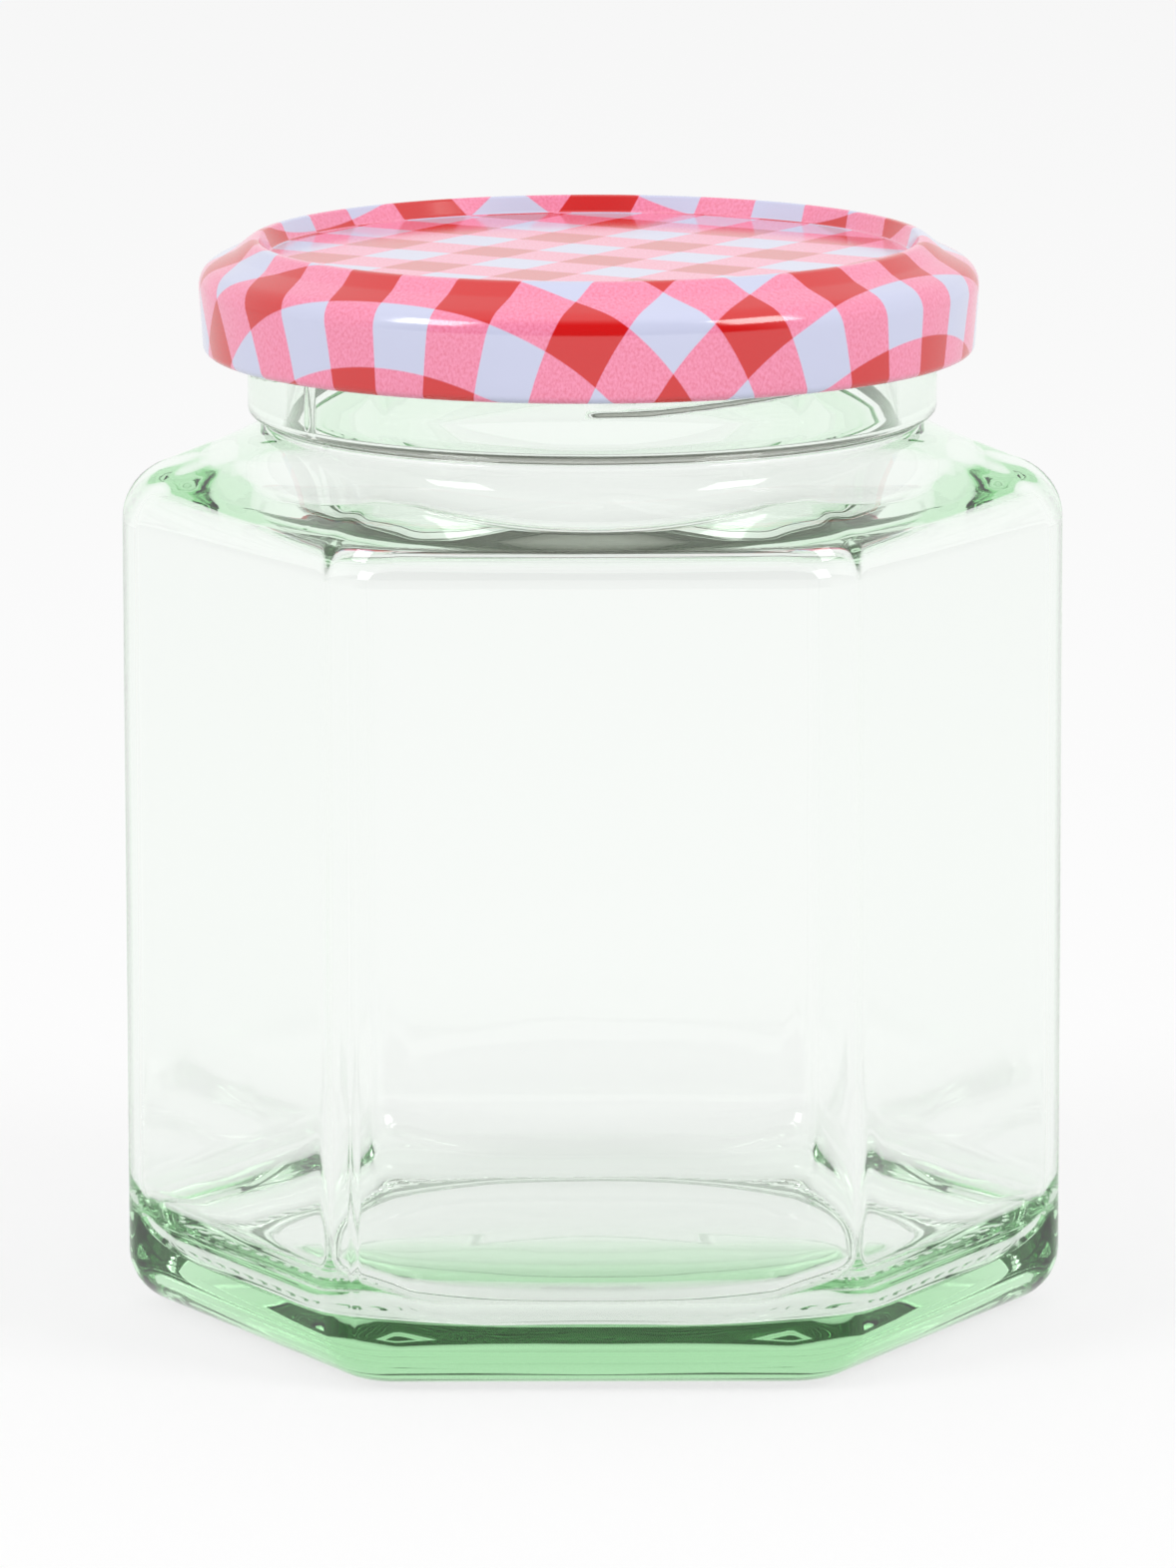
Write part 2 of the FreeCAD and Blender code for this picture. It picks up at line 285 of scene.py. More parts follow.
@dataclass(frozen=True)
class GinghamPrint:
    """Tinplate, offset printed in the flat with a gingham check and varnished, then pressed.

    The varnish gives a clear gloss over the ink; the pink squares are a fine speckle of red
    ink, which the eye sees as grain.
    """

    white_hex: str = "#CBCFE9"
    pink_hex: str = "#FA94B8"
    red_hex: str = "#D40002"
    stripe_mm: float = 5.95
    turn_deg: float = -31.9
    white_square_mm: Point = (6.58, 5.75)
    edge_mm: float = 0.06
    grain_mm: float = 0.3
    grain_share: float = 0.16
    ink_roughness: float = 0.38
    varnish_roughness: float = 0.13

    def stripes(self, tree: bpy.types.NodeTree, along: bpy.types.NodeSocket,
                ) -> bpy.types.NodeSocket:
        """Mask of the red stripes across one direction of the check.

        Args:
            tree: node tree of the material.
            along: distance in stripes from the middle of a white one.

        Returns:
            A socket that is 1 in a red stripe and 0 in a white one.
        """
        half = add_node(tree, "ShaderNodeMath", {"operation": "PINGPONG", 1: 1.0}, {0: along})
        edge = self.edge_mm / self.stripe_mm
        return add_node(tree, "ShaderNodeMapRange",
                        {"From Min": 0.5 - edge, "From Max": 0.5 + edge},
                        {"Value": half.outputs[0]}).outputs["Result"]

    def material(self, uv_name: str) -> bpy.types.Material:
        """Build the node material.

        Args:
            uv_name: UV map that holds the place on the flat sheet, in metres.

        Returns:
            The material.
        """
        material, tree = new_material("tinplate_gingham_printed_varnished")
        flat = add_node(tree, "ShaderNodeUVMap", {"uv_map": uv_name})
        stripe = self.stripe_mm * MM
        turned = add_node(tree, "ShaderNodeMapping",
                          {"vector_type": "TEXTURE",
                           "Location": (*(v * MM for v in self.white_square_mm), 0.0),
                           "Rotation": (0.0, 0.0, math.radians(self.turn_deg)),
                           "Scale": (stripe, stripe, 1.0)},
                          {"Vector": flat.outputs["UV"]})
        split = add_node(tree, "ShaderNodeSeparateXYZ", {}, {0: turned.outputs["Vector"]})
        one_way = self.stripes(tree, split.outputs["X"])
        other_way = self.stripes(tree, split.outputs["Y"])
        any_red = add_node(tree, "ShaderNodeMath", {"operation": "MAXIMUM"},
                           {0: one_way, 1: other_way})
        both_red = add_node(tree, "ShaderNodeMath", {"operation": "MINIMUM"},
                            {0: one_way, 1: other_way})
        speckle = add_node(tree, "ShaderNodeTexNoise",
                           {"Scale": 1 / (self.grain_mm * MM), "Detail": 1.0},
                           {"Vector": flat.outputs["UV"]})
        grain = add_node(tree, "ShaderNodeMapRange",
                         {"From Min": 0.3, "From Max": 0.7, "To Max": 2 * self.grain_share},
                         {"Value": speckle.outputs["Fac"]})
        pink = add_node(tree, "ShaderNodeMix",
                        {"data_type": "RGBA", 6: linear(self.pink_hex),
                         7: linear(self.red_hex)},
                        {"Factor": grain.outputs["Result"]})
        light = add_node(tree, "ShaderNodeMix", {"data_type": "RGBA", 6: linear(self.white_hex)},
                         {"Factor": any_red.outputs[0], 7: pink.outputs[2]})
        colour = add_node(tree, "ShaderNodeMix", {"data_type": "RGBA", 7: linear(self.red_hex)},
                          {"Factor": both_red.outputs[0], 6: light.outputs[2]})
        peel = add_node(tree, "ShaderNodeBump", {"Strength": 0.05, "Distance": 0.01 * MM},
                        {"Height": speckle.outputs["Fac"]})
        ink = add_node(tree, "ShaderNodeBsdfPrincipled",
                       {"Roughness": self.ink_roughness, "Metallic": 0.0, "IOR": 1.5,
                        "Specular IOR Level": 0.0, "Coat Weight": 1.0,
                        "Coat Roughness": self.varnish_roughness, "Coat IOR": 1.8},
                       {"Base Color": colour.outputs[2], "Normal": peel.outputs["Normal"]})
        add_node(tree, "ShaderNodeOutputMaterial", {}, {"Surface": ink.outputs["BSDF"]})
        return material


@dataclass(frozen=True)
class PlainFinish:
    """A pale coating with a little mottling: the lid's inside lacquer or its sealing ring."""

    name: str
    colour_hex: str
    shade_hex: str
    mottle_mm: float
    roughness: float

    def material(self) -> bpy.types.Material:
        """Build the node material."""
        material, tree = new_material(self.name)
        place = add_node(tree, "ShaderNodeTexCoord")
        mottle = add_node(tree, "ShaderNodeTexNoise",
                          {"Scale": 1 / (self.mottle_mm * MM), "Detail": 3.0},
                          {"Vector": place.outputs["Object"]})
        colour = add_node(tree, "ShaderNodeMix",
                          {"data_type": "RGBA", 6: linear(self.colour_hex),
                           7: linear(self.shade_hex)},
                          {"Factor": mottle.outputs["Fac"]})
        bump = add_node(tree, "ShaderNodeBump", {"Strength": 0.1, "Distance": 0.02 * MM},
                        {"Height": mottle.outputs["Fac"]})
        coat = add_node(tree, "ShaderNodeBsdfPrincipled",
                        {"Roughness": self.roughness, "Metallic": 0.0, "IOR": 1.5},
                        {"Base Color": colour.outputs[2], "Normal": bump.outputs["Normal"]})
        add_node(tree, "ShaderNodeOutputMaterial", {}, {"Surface": coat.outputs["BSDF"]})
        return material


# Epoxy lacquer, roller coated and stoved: a clean off-white with a soft sheen.
INSIDE_LACQUER = PlainFinish("epoxy_lacquer_stoved", "#E9E6E1", "#DDD9D2", 6.0, 0.35)
# Vinyl sealing compound, flowed in and cured: matt, slightly warm and waxy.
SEALING_COMPOUND = PlainFinish("vinyl_compound_cast", "#E4DDD3", "#D5CCC0", 2.0, 0.6)


# ---- the glass ---------------------------------------------------------------------------


@dataclass
class GlassJar:
    """The jar's glass in one closed skin, outside and inside."""

    height: float = 100.7
    flat: float = 39.3
    corner_rounding: float = 8.0
    inner_flat: float = 37.5
    inner_corner_rounding: float = 6.0
    heel: float = 5.0
    foot_z: float = 0.35
    shoulder_z: float = 75.45
    shoulder_bend: float = 5.6
    neck_root: Point = (31.5, 84.1)
    inner_shoulder_z: float = 74.64
    inner_shoulder_bend: float = 3.5
    bore: Point = (28.6, 80.6)
    bore_round: float = 6.2
    neck_radius: float = 30.7
    finish_radius: float = 32.3
    push_up_radius: float = 31.5
    push_up_edge: float = 1.8
    push_up_height: float = 1.9
    push_up_crown: float = 0.3
    bump_inset: float = 1.15
    bump_tip: float = 0.45
    bump_base: float = 0.85
    bumps_per_side: int = 14
    columns_per_bump: int = 5
    floor_flat: float = 31.7
    floor_rounding: float = 24.0
    floor_z: float = 5.5
    floor_crown: float = 2.2
    inner_heel_height: float = 7.0
    corner_share: float = 0.32
    thread_starts: int = 4
    thread_turn: float = math.radians(95)
    thread_z: float = 90.2
    thread_rise: float = 4.3
    thread_height: float = 1.8
    thread_depth: float = 1.6
    seam_height: float = 0.12
    wall_wave: float = 0.1
    finish: FlintGlass = field(default_factory=FlintGlass)

    def __post_init__(self) -> None:
        """Share out the columns in the three ways."""
        per_side = self.bumps_per_side * self.columns_per_bump
        share = (np.arange(per_side) + 0.5) / per_side * 2 - 1
        within = {
            Columns.ROUND: share * HALF_SIDE,
            Columns.FOOT: np.arctan(math.tan(HALF_SIDE) * share),
            Columns.PANEL: self.panel_angles(share),
        }
        middles = FRONT + 2 * HALF_SIDE * np.arange(SIDES)
        self.angles = {way: (middles[:, None] + turn).ravel() for way, turn in within.items()}
        self.bump_phase = np.tile(np.arange(per_side), SIDES) % self.columns_per_bump
        self.rows: list[Row] = []

    def panel_angles(self, share: np.ndarray) -> np.ndarray:
        """Angles from the middle of a panel, closer together in its corners.

        Args:
            share: -1 to 1 from one corner to the next.

        Returns:
            The angle of each column.
        """
        straight = (self.flat - self.corner_rounding) * math.tan(HALF_SIDE)
        tangent = math.atan2(straight, self.flat)
        part = np.abs(share)
        keep = 1 - self.corner_share
        on_panel = np.arctan(np.clip(part / keep, 0, 1) * straight / self.flat)
        on_corner = tangent + (part - keep) / self.corner_share * (HALF_SIDE - tangent)
        return np.sign(share) * np.where(part < keep, on_panel, on_corner)

    def mixed(self, first: Columns, second: Columns, share: float) -> np.ndarray:
        """Angles that change from one way of sharing out to another."""
        return self.angles[first] * (1 - share) + self.angles[second] * share

    @staticmethod
    def hexagon(angle: np.ndarray, flat: float, rounding: float) -> np.ndarray:
        """Distance from the axis to a hexagon with rounded corners.

        Args:
            angle: turn about +Z of each point.
            flat: distance from the axis to a panel.
            rounding: radius of the corners.

        Returns:
            The distance at each angle.
        """
        off = np.abs((angle + HALF_SIDE) % (2 * HALF_SIDE) - HALF_SIDE)
        centre = (flat - rounding) / math.cos(HALF_SIDE)
        tangent = math.atan2(rounding * math.sin(HALF_SIDE),
                             centre + rounding * math.cos(HALF_SIDE))
        inside = np.maximum(rounding ** 2 - (centre * np.sin(off)) ** 2, 0)
        arc = centre * np.cos(off) + np.sqrt(inside)
        return np.where(off > tangent, flat / np.cos(HALF_SIDE - off), arc)

    def wave(self, angle: np.ndarray, z: np.ndarray | float, size: float) -> np.ndarray:
        """Slow unevenness of blown walls.

        Args:
            angle: turn about +Z of each point.
            z: height of the points.
            size: how far the wall wanders in or out.

        Returns:
            The change in radius at each point.
        """
        slow = np.sin(2 * angle + 0.7 + z / 31) * 0.5 + np.sin(5 * angle - z / 17) * 0.3
        quick = np.sin(11 * angle + z / 9 + 1.3) * 0.12 + np.sin(17 * angle - z / 6) * 0.08
        return size * (slow + quick)

    def seam(self, angle: np.ndarray, places: list[float]) -> np.ndarray:
        """Fine raised lines where the halves of the mould met.

        Args:
            angle: turn about +Z of each point.
            places: turn of each line.

        Returns:
            The added radius at each point: one column stands out at each place.
        """
        added = np.zeros(len(angle))
        for place in places:
            away = np.abs((angle - place + math.pi) % (2 * math.pi) - math.pi)
            added[np.argmin(away)] = self.seam_height
        return added

    def base(self) -> None:
        """Rings of the push-up, the bearing ring with its bumps, and the heel."""
        inner = self.push_up_radius - self.push_up_edge
        top = self.foot_z + self.push_up_height
        turn = self.angles[Columns.ROUND]
        for share in np.linspace(0.04, 1, 9)[:-1]:
            crown = self.push_up_crown * (1 - share ** 2)
            self.rows.append(level_row(turn, inner * share, top + crown))
        for step in range(7):
            bend = math.pi / 2 * step / 6
            turn = self.mixed(Columns.ROUND, Columns.FOOT, step / 6)
            self.rows.append(level_row(turn, inner + self.push_up_edge * math.sin(bend),
                                       self.foot_z + self.push_up_height * math.cos(bend)))
        foot_flat = self.flat - self.heel
        row_flat = foot_flat - self.bump_inset
        rounding = self.corner_rounding - self.heel - self.bump_inset
        turn = self.angles[Columns.FOOT]
        beside = np.abs(self.bump_phase - self.columns_per_bump // 2)
        step_mm = 2 * math.tan(HALF_SIDE) * row_flat / (self.bumps_per_side * self.columns_per_bump)
        for away in np.array([-1.0, -0.85, -0.6, -0.3, 0.0, 0.3, 0.6, 0.85, 1.0]) * self.bump_base:
            distance = np.hypot(away, beside * step_mm)
            rise = np.clip((self.bump_base - distance) / (self.bump_base - self.bump_tip), 0, 1)
            radius = self.hexagon(turn, row_flat + away, rounding + away)
            self.rows.append(level_row(turn, radius, self.foot_z * (1 - rise)))
        for step in range(10):
            bend = math.pi / 2 * step / 9
            out = self.heel * math.sin(bend)
            turn = self.mixed(Columns.FOOT, Columns.PANEL, step / 9)
            radius = self.hexagon(turn, foot_flat + out, self.corner_rounding - self.heel + out)
            z = self.foot_z + self.heel * (1 - math.cos(bend))
            self.rows.append(level_row(turn, radius, z))

    def walls(self, flat: float, rounding: float, low: float, high: float, wave: float,
              seams: list[float]) -> list[Row]:
        """Rings of the upright panels.

        Args:
            flat: distance from the axis to a panel.
            rounding: radius of the corners.
            low: height of the lowest ring.
            high: height of the highest ring.
            wave: unevenness of the wall.
            seams: turns at which mould seams run up the wall.

        Returns:
            The rings from low to high.
        """
        turn = self.angles[Columns.PANEL]
        rings = []
        for share in np.linspace(0, 1, 18)[1:-1]:
            z = low + (high - low) * share
            fade = wave * math.sin(math.pi * share) ** 0.5
            radius = self.hexagon(turn, flat, rounding) - np.abs(self.wave(turn, z, fade))
            rings.append(level_row(turn, radius + self.seam(turn, seams), z))
        return rings

    def shoulder(self, flat: float, rounding: float, low: float, bend: float,
                 end: Point, ease: float = 0.0) -> list[Row]:
        """Rings from the panels' top edge over the bend and up to the neck.

        Args:
            flat: distance from the axis to a panel.
            rounding: radius of the upright corners.
            low: height where the panels end.
            bend: radius of the bend.
            end: (radius, z) where the shoulder meets the neck.
            ease: length over which it turns upright there.

        Returns:
            The rings from low to high.
        """
        rings = []
        bends, runs, eases = 9, 11, 5
        for step in range(bends + runs):
            spread = smooth_step(np.array((step - 2) / (bends + runs - 3))).item()
            turn = self.mixed(Columns.PANEL, Columns.ROUND, spread)
            start = self.hexagon(turn, flat, rounding)
            centre = start - bend
            reach = np.hypot(end[0] - centre, end[1] - low)
            leave = np.arctan2(end[1] - low, end[0] - centre) - np.arccos(bend / reach)
            share = min(step / bends, 1.0)
            radius = centre + bend * np.cos(leave * share)
            z = low + bend * np.sin(leave * share)
            out, up = end[0] - radius, end[1] - z
            short = ease / np.hypot(out, up)
            along = (1 - short) * max(step - bends, 0) / runs
            rings.append(level_row(turn, radius + out * along, z + up * along))
        for step in range(eases if ease else 0):
            share = step / eases
            back = short * (1 - share) ** 2
            rings.append(level_row(turn, end[0] - out * back,
                                   end[1] - up * back + ease * share ** 2))
        return rings

    def threads(self, angle: np.ndarray, z: float) -> np.ndarray:
        """How far the threads stand out of the finish wall.

        Args:
            angle: turn about +Z of each point.
            z: height of the points.

        Returns:
            The added radius at each point.
        """
        added = np.zeros(len(angle))
        pitch = 2 * math.pi / self.thread_starts
        for index in range(self.thread_starts):
            share = ((angle - FRONT - index * pitch) % (2 * math.pi)) / self.thread_turn
            fade = np.clip(0.3 + 7 * np.minimum(share, 1 - share), 0, 1)
            half = self.thread_height * (1 + fade) / 4
            off = np.abs(z - self.thread_z - share * self.thread_rise)
            ridge = smooth_step((half - off) / (half * 0.62))
            added = np.maximum(added, np.where(share <= 1, self.thread_depth * fade * ridge, 0))
        return added

    def finish_rings(self) -> None:
        """Rings of the neck, the threaded finish, the lip and the mouth."""
        root, z = self.neck_root
        outside = rounded_path([
            (root, z, 0), (self.neck_radius, z + 0.4, 0.6), (self.neck_radius, z + 1.05, 0.3),
            (self.finish_radius, z + 1.55, 0.95), (self.finish_radius, self.thread_z - 1.6, 0),
        ])
        finish = refined([(self.finish_radius, self.thread_z - 1.6),
                          (self.finish_radius, self.thread_z + self.thread_rise + 1.6)], 0.22)
        lip = rounded_path([
            (self.finish_radius, self.thread_z + self.thread_rise + 1.6, 0),
            (self.finish_radius, self.height, 0.5), (31.35, self.height, 0), (31.0, 99.6, 0.4),
            (29.6, 98.0, 1.6), (self.bore[0], self.bore[1] + self.bore_round, 0),
        ], 4)
        turn = self.angles[Columns.ROUND]
        seams = self.seam(turn, [FRONT - math.radians(54), FRONT + math.radians(126)])
        for radius, height in outside + finish[1:] + lip[1:]:
            out = radius + self.threads(turn, height)
            if radius > self.neck_radius - 1 and height < self.height - 1:
                out = out + seams
            self.rows.append(level_row(turn, out, height))

    def inside(self) -> None:
        """Rings of the hollow, from the bore down to the floor."""
        flat, rounding = self.inner_flat, self.inner_corner_rounding
        top = self.shoulder(flat, rounding, self.inner_shoulder_z, self.inner_shoulder_bend,
                            self.bore, self.bore_round)
        self.rows += top[::-1]
        low = self.floor_z + self.inner_heel_height
        panels = self.walls(flat, rounding, low, self.inner_shoulder_z, self.wall_wave, [])
        self.rows += panels[::-1]
        sharp = 1 / math.cos(HALF_SIDE)
        steps = 14
        for step in range(steps, -1, -1):
            bend = math.pi / 2 * step / steps
            out = math.sin(bend)
            middle = self.floor_flat + (flat - self.floor_flat) * out
            corner = (self.floor_flat * sharp - self.floor_rounding * (sharp - 1)) * (1 - out)
            corner += (flat * sharp - rounding * (sharp - 1)) * out
            turn = self.mixed(Columns.ROUND, Columns.PANEL, step / steps)
            radius = self.hexagon(turn, middle, (middle * sharp - corner) / (sharp - 1))
            z = self.floor_z + self.inner_heel_height * (1 - math.cos(bend))
            self.rows.append(level_row(turn, radius, z))
        turn = self.angles[Columns.ROUND]
        edge = self.hexagon(turn, self.floor_flat, self.floor_rounding)
        for share in np.linspace(1, 0.04, 12)[1:]:
            z = self.floor_z + self.floor_crown * (1 - share ** 2)
            self.rows.append(level_row(turn, edge * share, z))

    def build(self) -> bpy.types.Object:
        """Build the glass and dress it."""
        self.base()
        corner = FRONT - HALF_SIDE
        self.rows += self.walls(self.flat, self.corner_rounding, self.foot_z + self.heel,
                                self.shoulder_z, self.wall_wave * 0.25,
                                [corner, corner + math.pi])
        self.rows += self.shoulder(self.flat, self.corner_rounding, self.shoulder_z,
                                   self.shoulder_bend, self.neck_root)
        self.finish_rings()
        self.inside()
        glass = skin("moulded_glass", self.rows)
        glass.data.materials.append(self.finish.material())
        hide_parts("glass_jar")
        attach(glass, "root")
        return glass


# ---- the lid -----------------------------------------------------------------------------


class LidFace(Enum):
    """Which finish a part of the lid's skin has; the value is its material index."""

    PRINTED = 0
    LACQUERED = 1


@dataclass
class TwistOffLid:
    """Pressed tinplate lid with a sunk panel, a curled edge, lugs and a sealing ring."""

    columns: int = 288
    shift: Point = (-0.3, 0.0)
    sheet: float = 0.25
    panel: Point = (30.0, 100.32)
    crest_inner: Point = (30.9, 101.93)
    crest_outer: Point = (31.6, 101.93)
    step: Point = (33.2, 100.68)
    knee: Point = (36.6, 99.0)
    skirt_foot: Point = (36.1, 91.3)
    curl: float = 0.85
    seal_z: float = 100.7
    lugs: int = 4
    lug_turn: float = math.radians(15)
    lug_end: float = math.radians(91)
    lug_reach: float = 1.25
    panel_drift_mm: Point = (-0.9, 7.75)
    uv_name: str = "flat_sheet"
    print: GinghamPrint = field(default_factory=GinghamPrint)

    def outside(self) -> list[Point]:
        """Points of the printed side, from the panel's middle down to the curl."""
        foot, low = self.skirt_foot
        return rounded_path([
            (0.8, self.panel[1], 0), (*self.panel, 0.5), (*self.crest_inner, 0.35),
            (*self.crest_outer, 1.1), (*self.step, 2.2), (*self.knee, 2.4),
            (foot, low, self.curl), (foot - self.curl, low, 0),
        ], 7)

    def inside(self) -> list[Point]:
        """Points of the lacquered side, from the curl up to the panel's middle."""
        foot, low = self.skirt_foot
        inner = foot - 2 * self.curl
        web = low + 2 * self.curl
        return rounded_path([
            (foot - self.curl, low, 0), (inner, low, self.curl - 0.02),
            (inner, web, self.curl - 0.02), (foot - self.sheet, web, 0.25),
            (self.knee[0] - self.sheet, self.knee[1] - self.sheet, 2.1),
            (self.step[0] - self.sheet, self.step[1] - self.sheet, 1.5),
            (self.crest_outer[0] - self.sheet, self.crest_outer[1] - self.sheet, 0.4),
            (self.crest_inner[0] + self.sheet, self.crest_inner[1] - self.sheet, 0.3),
            (self.panel[0] + self.sheet, self.panel[1] - self.sheet, 0.3),
            (0.8, self.panel[1] - self.sheet, 0),
        ], 6)

    def flat_radii(self, profile: list[Point]) -> list[float]:
        """Where each point of the printed side lay on the flat sheet.

        Pressing keeps the sheet's area, so a ring's radius in the flat follows from the area of
        the lid inside it.

        Args:
            profile: (radius, z) of each point, from the middle out.

        Returns:
            The radius of each point on the flat sheet.
        """
        radii = [profile[0][0]]
        for (r0, z0), (r1, z1) in zip(profile, profile[1:]):
            area = (r0 + r1) * math.hypot(r1 - r0, z1 - z0)
            radii.append(math.sqrt(radii[-1] ** 2 + area))
        return radii

    def ring(self, turn: np.ndarray, radius: np.ndarray | float, z: float) -> Row:
        """One ring of points round the lid's own axis."""
        points = level_row(turn, radius, z)
        points[:, :2] += self.shift
        return points

    def shell(self) -> bpy.types.Object:
        """Build the tinplate with its print."""
        turn = np.arange(self.columns) * 2 * math.pi / self.columns
        printed = refined(self.outside(), 1.6)
        under = refined(self.inside(), 1.6)
        start = self.lug_end - self.lug_turn + FRONT
        around = (turn - start) % (2 * math.pi / self.lugs)
        press = smooth_step(around / 0.05) * smooth_step((self.lug_turn - around) / 0.05)
        low = self.skirt_foot[1]
        rows = []
        for radius, z in under[::-1]:
            near = radius < self.skirt_foot[0] - self.curl and z < low + 1.4 and radius > 33
            reach = self.lug_reach * press if near else 0.0
            rows.append(self.ring(turn, radius - reach, z))
        flat = self.flat_radii(printed)
        for radius, z in printed[-2::-1]:
            rows.append(self.ring(turn, radius, z))
        shell = skin("tinplate_lid", rows)
        self.dress(shell, len(under), printed, flat, turn)
        return shell

    def dress(self, shell: bpy.types.Object, under: int, printed: list[Point],
              flat: list[float], turn: np.ndarray) -> None:
        """Give the shell its finishes and the place of each point on the flat sheet.

        Args:
            shell: the tinplate.
            under: how many rings the lacquered side has.
            printed: profile of the printed side, from the middle out.
            flat: radius of each of those points on the flat sheet.
            turn: angle of each column.
        """
        mesh = shell.data
        mesh.materials.append(self.print.material(self.uv_name))
        mesh.materials.append(INSIDE_LACQUER.material())
        count = self.columns
        place = np.zeros((len(mesh.vertices), 2))
        for ring, (radius, _) in enumerate(zip(flat[-1::-1], printed[-1::-1])):
            index = under - 1 + ring
            spot = np.stack([radius * np.cos(turn), radius * np.sin(turn)], axis=1)
            if radius < self.panel[0]:
                spot = spot - self.panel_drift_mm
            place[index * count:(index + 1) * count] = spot
        place[-1] = -np.array(self.panel_drift_mm)
        uv = mesh.uv_layers.new(name=self.uv_name)
        corners = np.zeros(len(mesh.loops), dtype=np.int64)
        mesh.loops.foreach_get("vertex_index", corners)
        uv.data.foreach_set("uv", (place[corners] * MM).ravel())
        for face in mesh.polygons:
            ring = min(face.vertices) // count
            below = ring < under - 1 or len(mesh.vertices) - 2 in face.vertices
            face.material_index = (LidFace.LACQUERED if below else LidFace.PRINTED).value

    def sealing_ring(self) -> bpy.types.Object:
        """Build the compound cast under the crest."""
        turn = np.arange(self.columns) * 2 * math.pi / self.columns
        inner, outer = self.crest_inner[0] - 0.1, self.step[0] - 0.6
        top = self.crest_inner[1] - self.sheet - 0.02
        profile = rounded_path([
            (inner + 0.4, self.seal_z, 0), (outer, self.seal_z, 0.15), (outer, top - 0.55, 0.3),
            (self.crest_outer[0] - 0.1, top, 0.3), (inner + 0.3, top, 0.2),
            (inner, self.seal_z, 0.15), (inner + 0.3, self.seal_z, 0),
        ], 4)
        ring = skin("sealing_ring", [self.ring(turn, r, z) for r, z in profile], caps=False)
        ring.data.materials.append(SEALING_COMPOUND.material())
        return ring

    def build(self) -> list[bpy.types.Object]:
        """Build the lid's pieces and dress them."""
        pieces = [self.shell(), self.sealing_ring()]
        for piece in pieces:
            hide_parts("lid")
            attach(piece, "root")
        return pieces


# ---- studio ------------------------------------------------------------------------------


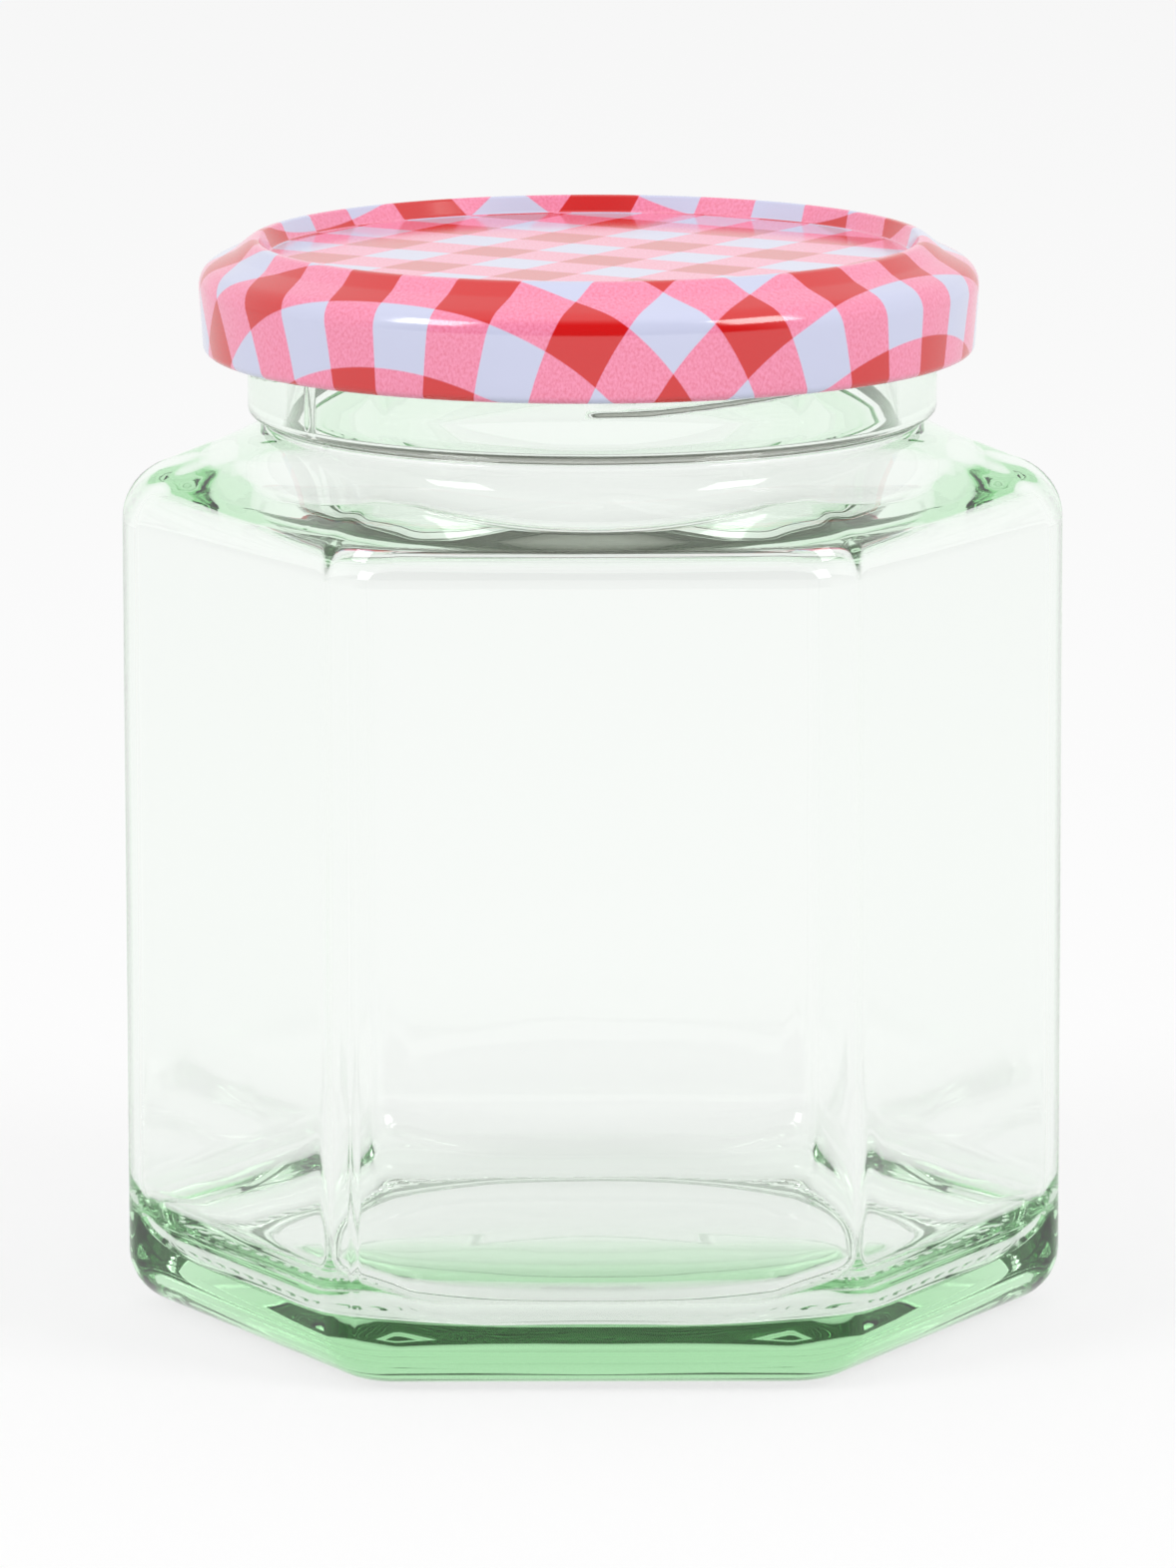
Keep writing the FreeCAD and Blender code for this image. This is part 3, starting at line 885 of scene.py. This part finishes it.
@dataclass
class Studio:
    """Pale floor, white tent with a dark open front, soft lights and the camera."""

    floor_size: float = 8.0
    light: float = 0.74
    background: float = 1.0
    open_front: float = 0.1
    front_edges: Point = (-0.75, -0.25)
    floor_paint: float = 0.8
    floor_shade: float = 0.28
    floor_glow: float = 0.7
    softbox_size: Point = (0.5, 0.5)
    softbox_watts: float = 5.0
    all_bounces: int = 48
    glossy_bounces: int = 40
    glass_bounces: int = 24
    camera_place: tuple[float, float, float] = (0.0, -1025.35, 236.18)
    camera_pitch: float = 0.1797
    camera_roll: float = -0.0019
    lens_mm: float = 253.6
    shift_x: float = -0.0032

    @staticmethod
    def shows_background(tree: bpy.types.NodeTree) -> bpy.types.NodeSocket:
        """Tell rays from the camera, a reflection or clear glass from those that only light.

        Args:
            tree: node tree that gets the nodes.

        Returns:
            Socket that is 1 for a ray that shows the background, and otherwise 0.
        """
        ray = add_node(tree, "ShaderNodeLightPath")
        shows = ray.outputs["Is Camera Ray"]
        for kind in ("Is Glossy Ray", "Is Transmission Ray"):
            shows = add_node(tree, "ShaderNodeMath", {"operation": "MAXIMUM"},
                             {0: shows, 1: ray.outputs[kind]}).outputs[0]
        return shows

    def surround(self) -> None:
        """White tent with a dark open front, the same for camera, varnish and glass."""
        world = bpy.data.worlds.new("light_tent")
        world.use_nodes = True
        tree = world.node_tree
        tree.nodes.clear()
        way = add_node(tree, "ShaderNodeTexCoord")
        split = add_node(tree, "ShaderNodeSeparateXYZ", {}, {0: way.outputs["Generated"]})
        tent = add_node(tree, "ShaderNodeMapRange",
                        {"interpolation_type": "SMOOTHSTEP", "From Min": self.front_edges[0],
                         "From Max": self.front_edges[1], "To Min": self.open_front,
                         "To Max": self.background}, {"Value": split.outputs["Y"]})
        level = add_node(tree, "ShaderNodeMix", {"data_type": "FLOAT", 2: self.light},
                         {"Factor": self.shows_background(tree), 3: tent.outputs["Result"]})
        back = add_node(tree, "ShaderNodeBackground", {"Color": (1.0, 1.0, 1.0, 1.0)},
                        {"Strength": level.outputs[0]})
        add_node(tree, "ShaderNodeOutputWorld", {}, {"Surface": back.outputs["Background"]})
        bpy.context.scene.world = world

    def floor(self) -> bpy.types.Object:
        """Pale floor that keeps the jar's soft shadow."""
        half = self.floor_size / 2
        mesh = bpy.data.meshes.new("floor")
        mesh.from_pydata([(-half, -half, 0), (half, -half, 0), (half, half, 0),
                          (-half, half, 0)], [], [(0, 1, 2, 3)])
        floor = bpy.data.objects.new("floor", mesh)
        bpy.context.collection.objects.link(floor)
        material, tree = new_material("painted_board_matt")
        paint = add_node(tree, "ShaderNodeBsdfDiffuse",
                         {"Color": (self.floor_paint, self.floor_paint, self.floor_paint, 1.0)})
        glow = add_node(tree, "ShaderNodeEmission", {"Color": (1.0, 1.0, 1.0, 1.0),
                                                     "Strength": self.floor_glow})
        shade = add_node(tree, "ShaderNodeBsdfDiffuse",
                         {"Color": (self.floor_shade, self.floor_shade, self.floor_shade, 1.0)})
        lit = add_node(tree, "ShaderNodeAddShader", {}, {0: shade.outputs[0],
                                                         1: glow.outputs[0]})
        whole = add_node(tree, "ShaderNodeMixShader", {},
                         {"Fac": self.shows_background(tree), 1: paint.outputs[0],
                          2: lit.outputs[0]})
        add_node(tree, "ShaderNodeOutputMaterial", {}, {"Surface": whole.outputs[0]})
        mesh.materials.append(material)
        return floor

    def softbox(self, name: str, place: tuple[float, float, float], size: Point,
                watts: float) -> bpy.types.Object:
        """Hang a soft light that points at the jar.

        Args:
            name: name of the light.
            place: where it hangs, in metres.
            size: its width and height, in metres.
            watts: its power.

        Returns:
            The light.
        """
        lamp = bpy.data.lights.new(name, "AREA")
        lamp.shape = "RECTANGLE"
        lamp.size, lamp.size_y = size
        lamp.energy = watts
        light = bpy.data.objects.new(name, lamp)
        bpy.context.collection.objects.link(light)
        light.location = place
        towards = np.array([0.0, 0.0, 0.06]) - np.array(place)
        yaw = math.atan2(towards[0], -towards[1])
        tilt = math.atan2(math.hypot(towards[0], towards[1]), -towards[2])
        light.rotation_euler = (tilt, 0.0, yaw + math.pi)
        return light

    def camera(self) -> bpy.types.Object:
        """Place the camera and make it the scene's own."""
        lens = bpy.data.cameras.new("camera")
        lens.lens = self.lens_mm
        lens.sensor_width = 36.0
        lens.shift_x = self.shift_x
        lens.clip_end = 50.0
        camera = bpy.data.objects.new("camera", lens)
        bpy.context.collection.objects.link(camera)
        camera.location = [v * MM for v in self.camera_place]
        tilt = Matrix.Rotation(math.pi / 2 - self.camera_pitch, 3, "X")
        camera.rotation_euler = (tilt @ Matrix.Rotation(self.camera_roll, 3, "Z")).to_euler()
        bpy.context.scene.camera = camera
        return camera

    def build(self) -> None:
        """Set up everything round the jar."""
        self.surround()
        self.floor()
        self.softbox("softbox_left", (-0.9, -0.7, 0.9), self.softbox_size,
                     self.softbox_watts)
        self.softbox("softbox_right", (0.9, -0.6, 0.9), self.softbox_size,
                     self.softbox_watts)
        self.camera()
        scene = bpy.context.scene
        scene.view_settings.view_transform = "Standard"
        # Light that turns back inside the thick glass needs many bounces, or it goes black.
        scene.cycles.max_bounces = self.all_bounces
        scene.cycles.glossy_bounces = self.glossy_bounces
        scene.cycles.transmission_bounces = self.glass_bounces


def main() -> None:
    """Load the frame, build the jar and its surroundings, and log the face counts."""
    logging.basicConfig(level=logging.INFO, format="%(name)s: %(message)s")
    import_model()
    glass = GlassJar().build()
    LOG.info("%s: %d faces", glass.name, len(glass.data.polygons))
    for piece in TwistOffLid().build():
        LOG.info("%s: %d faces", piece.name, len(piece.data.polygons))
    Studio().build()
    LOG.info("studio ready")


if __name__ == "__main__":
    main()
